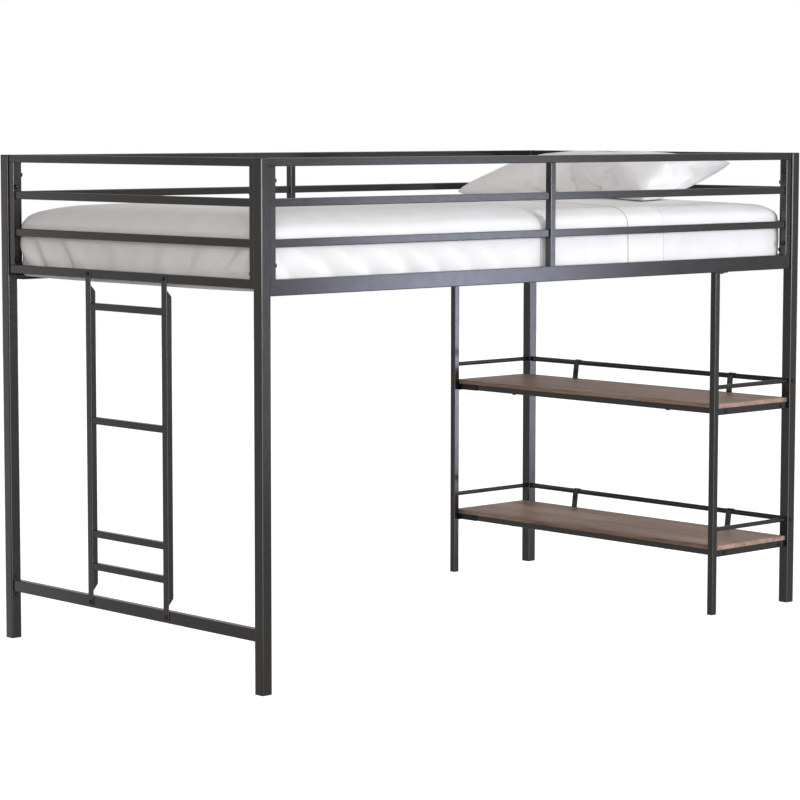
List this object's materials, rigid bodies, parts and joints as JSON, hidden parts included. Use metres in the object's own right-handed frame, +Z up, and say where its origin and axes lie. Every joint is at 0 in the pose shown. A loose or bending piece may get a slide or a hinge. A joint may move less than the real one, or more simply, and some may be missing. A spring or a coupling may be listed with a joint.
{
  "type": "loft bed with shelves",
  "caption": "Low metal-tube loft bed for a twin mattress, with guard rails all round, an end ladder and open wooden shelves at the other end.",
  "frame": {"origin": "on the floor, at the centre of the bed's footprint", "axes": "+Z up; +X along the bed from the ladder end to the shelf end; -Y faces the front long side"},
  "size_m": [1.98, 1.06, 1.2806],
  "materials": {
    "dark_metal": "satin dark grey powder coat",
    "black_hardware": "black zinc, satin",
    "cap_plastic": "moulded, matte",
    "walnut_board": "walnut veneer, matte",
    "fitted_sheet": "white cotton percale",
    "top_sheet": "white cotton percale",
    "comforter": "white brushed cotton",
    "pillow_case": "white cotton percale"
  },
  "bodies": {
    "frame": {"back_guard_rails": "dark_metal", "back_panel_stiles": "dark_metal", "back_side_rail": "dark_metal", "back_top_rail": "dark_metal", "bed_slats": "dark_metal", "board_screws": "black_hardware", "corner_post_back_left": "dark_metal", "corner_post_back_right": "dark_metal", "corner_post_front_left": "dark_metal", "corner_post_front_right": "dark_metal", "cross_rail": "dark_metal", "cross_rail_end_plates": "dark_metal", "foot_caps": "cap_plastic", "front_guard_rails": "dark_metal", "front_panel_stiles": "dark_metal", "front_side_rail": "dark_metal", "front_top_rail": "dark_metal", "galley_bar_inserts": "black_hardware", "galley_bolts": "black_hardware", "galley_end_bars": "dark_metal", "galley_straps": "dark_metal", "hex_nuts": "black_hardware", "ladder_rung_1": "dark_metal", "ladder_rung_2": "dark_metal", "ladder_rung_3": "dark_metal", "ladder_rung_4": "dark_metal", "ladder_upright_back": "dark_metal", "ladder_upright_front": "dark_metal", "left_end_bottom_rail": "dark_metal", "left_end_guard_rails": "dark_metal", "left_end_stiles": "dark_metal", "left_end_top_rail": "dark_metal", "lower_galley_long_bar": "dark_metal", "lower_shelf_board": "walnut_board", "lower_shelf_end_tubes": "dark_metal", "lower_shelf_long_tubes": "dark_metal", "panel_bolts": "black_hardware", "post_top_caps": "cap_plastic", "right_end_bottom_rail": "dark_metal", "right_end_guard_rails": "dark_metal", "right_end_stiles": "dark_metal", "right_end_top_rail": "dark_metal", "shelf_bolts": "black_hardware", "shelf_braces": "dark_metal", "shelf_corner_brackets": "black_hardware", "shelf_frame_tabs": "dark_metal", "shelf_upright_back": "dark_metal", "shelf_upright_front": "dark_metal", "short_bolts": "black_hardware", "slat_ledges": "dark_metal", "slat_screws": "black_hardware", "upper_galley_long_bar": "dark_metal", "upper_shelf_board": "walnut_board", "upper_shelf_end_tubes": "dark_metal", "upper_shelf_long_tubes": "dark_metal", "upright_top_plates": "dark_metal"},
    "bedding": {"mattress": "fitted_sheet", "top_sheet": "top_sheet", "comforter": "comforter"},
    "pillow_body": {"pillow": "pillow_case"}
  },
  "joints": [
    {"name": "mattress_lift", "type": "slide", "parent": "frame", "child": "bedding", "axis": [0, 0, 1], "range_m": [0, 0.36]},
    {"name": "pillow_lift", "type": "slide", "parent": "bedding", "child": "pillow_body", "axis": [0, 0, 1], "range_m": [0, 0.3]}
  ]
}
